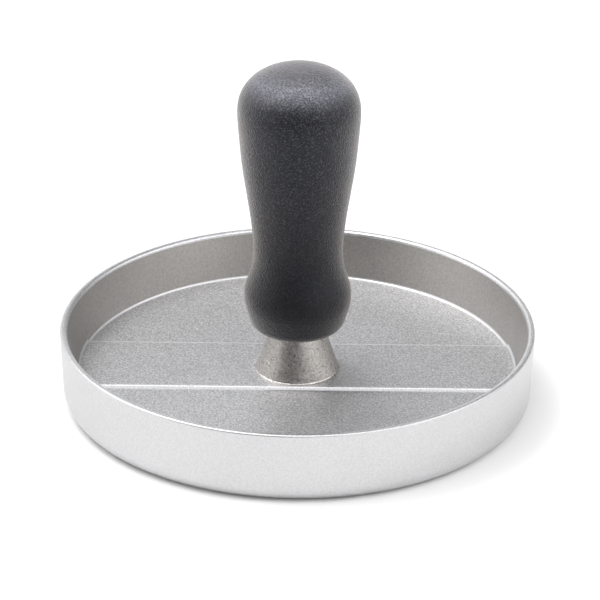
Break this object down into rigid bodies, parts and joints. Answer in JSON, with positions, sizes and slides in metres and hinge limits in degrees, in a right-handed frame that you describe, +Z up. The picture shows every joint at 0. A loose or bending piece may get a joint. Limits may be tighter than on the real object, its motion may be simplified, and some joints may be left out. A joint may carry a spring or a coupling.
{
  "type": "patty press",
  "caption": "Round cast aluminium patty press with a low rim, a raised centre boss and a black handle screwed on from below.",
  "frame": {"origin": "centre of the footprint, on the plane that the press stands on", "axes": "+Z up along the handle, +X along the raised band across the floor, +Y across it"},
  "size_m": [0.12, 0.12, 0.09],
  "materials": {
    "cast_aluminium": "sand-textured cast surface on the floor and boss, fine satin on the outside wall",
    "black_grip": "matt, fine spark-eroded grain",
    "insert_brass": "turned",
    "screw_steel": "bright stainless steel"
  },
  "bodies": {
    "pan": {"press_pan": "cast_aluminium"},
    "screw": {"handle_screw": "screw_steel", "lock_washer": "screw_steel", "flat_washer": "screw_steel"},
    "handle": {"handle_grip": "black_grip", "handle_insert": "insert_brass"}
  },
  "joints": [
    {"name": "screw_turn", "type": "hinge", "parent": "pan", "child": "screw", "pos_m": [0, 0, 0.0072], "axis": [0, 0, -1], "range_deg": [0, 4325]},
    {"name": "handle_lift", "type": "slide", "parent": "pan", "child": "handle", "axis": [0, 0, 1], "range_m": [0, 0.012]}
  ],
  "couplings": [
    {"joint": "screw_turn", "follows": "handle_lift", "rad_per_m": 6283.2}
  ]
}
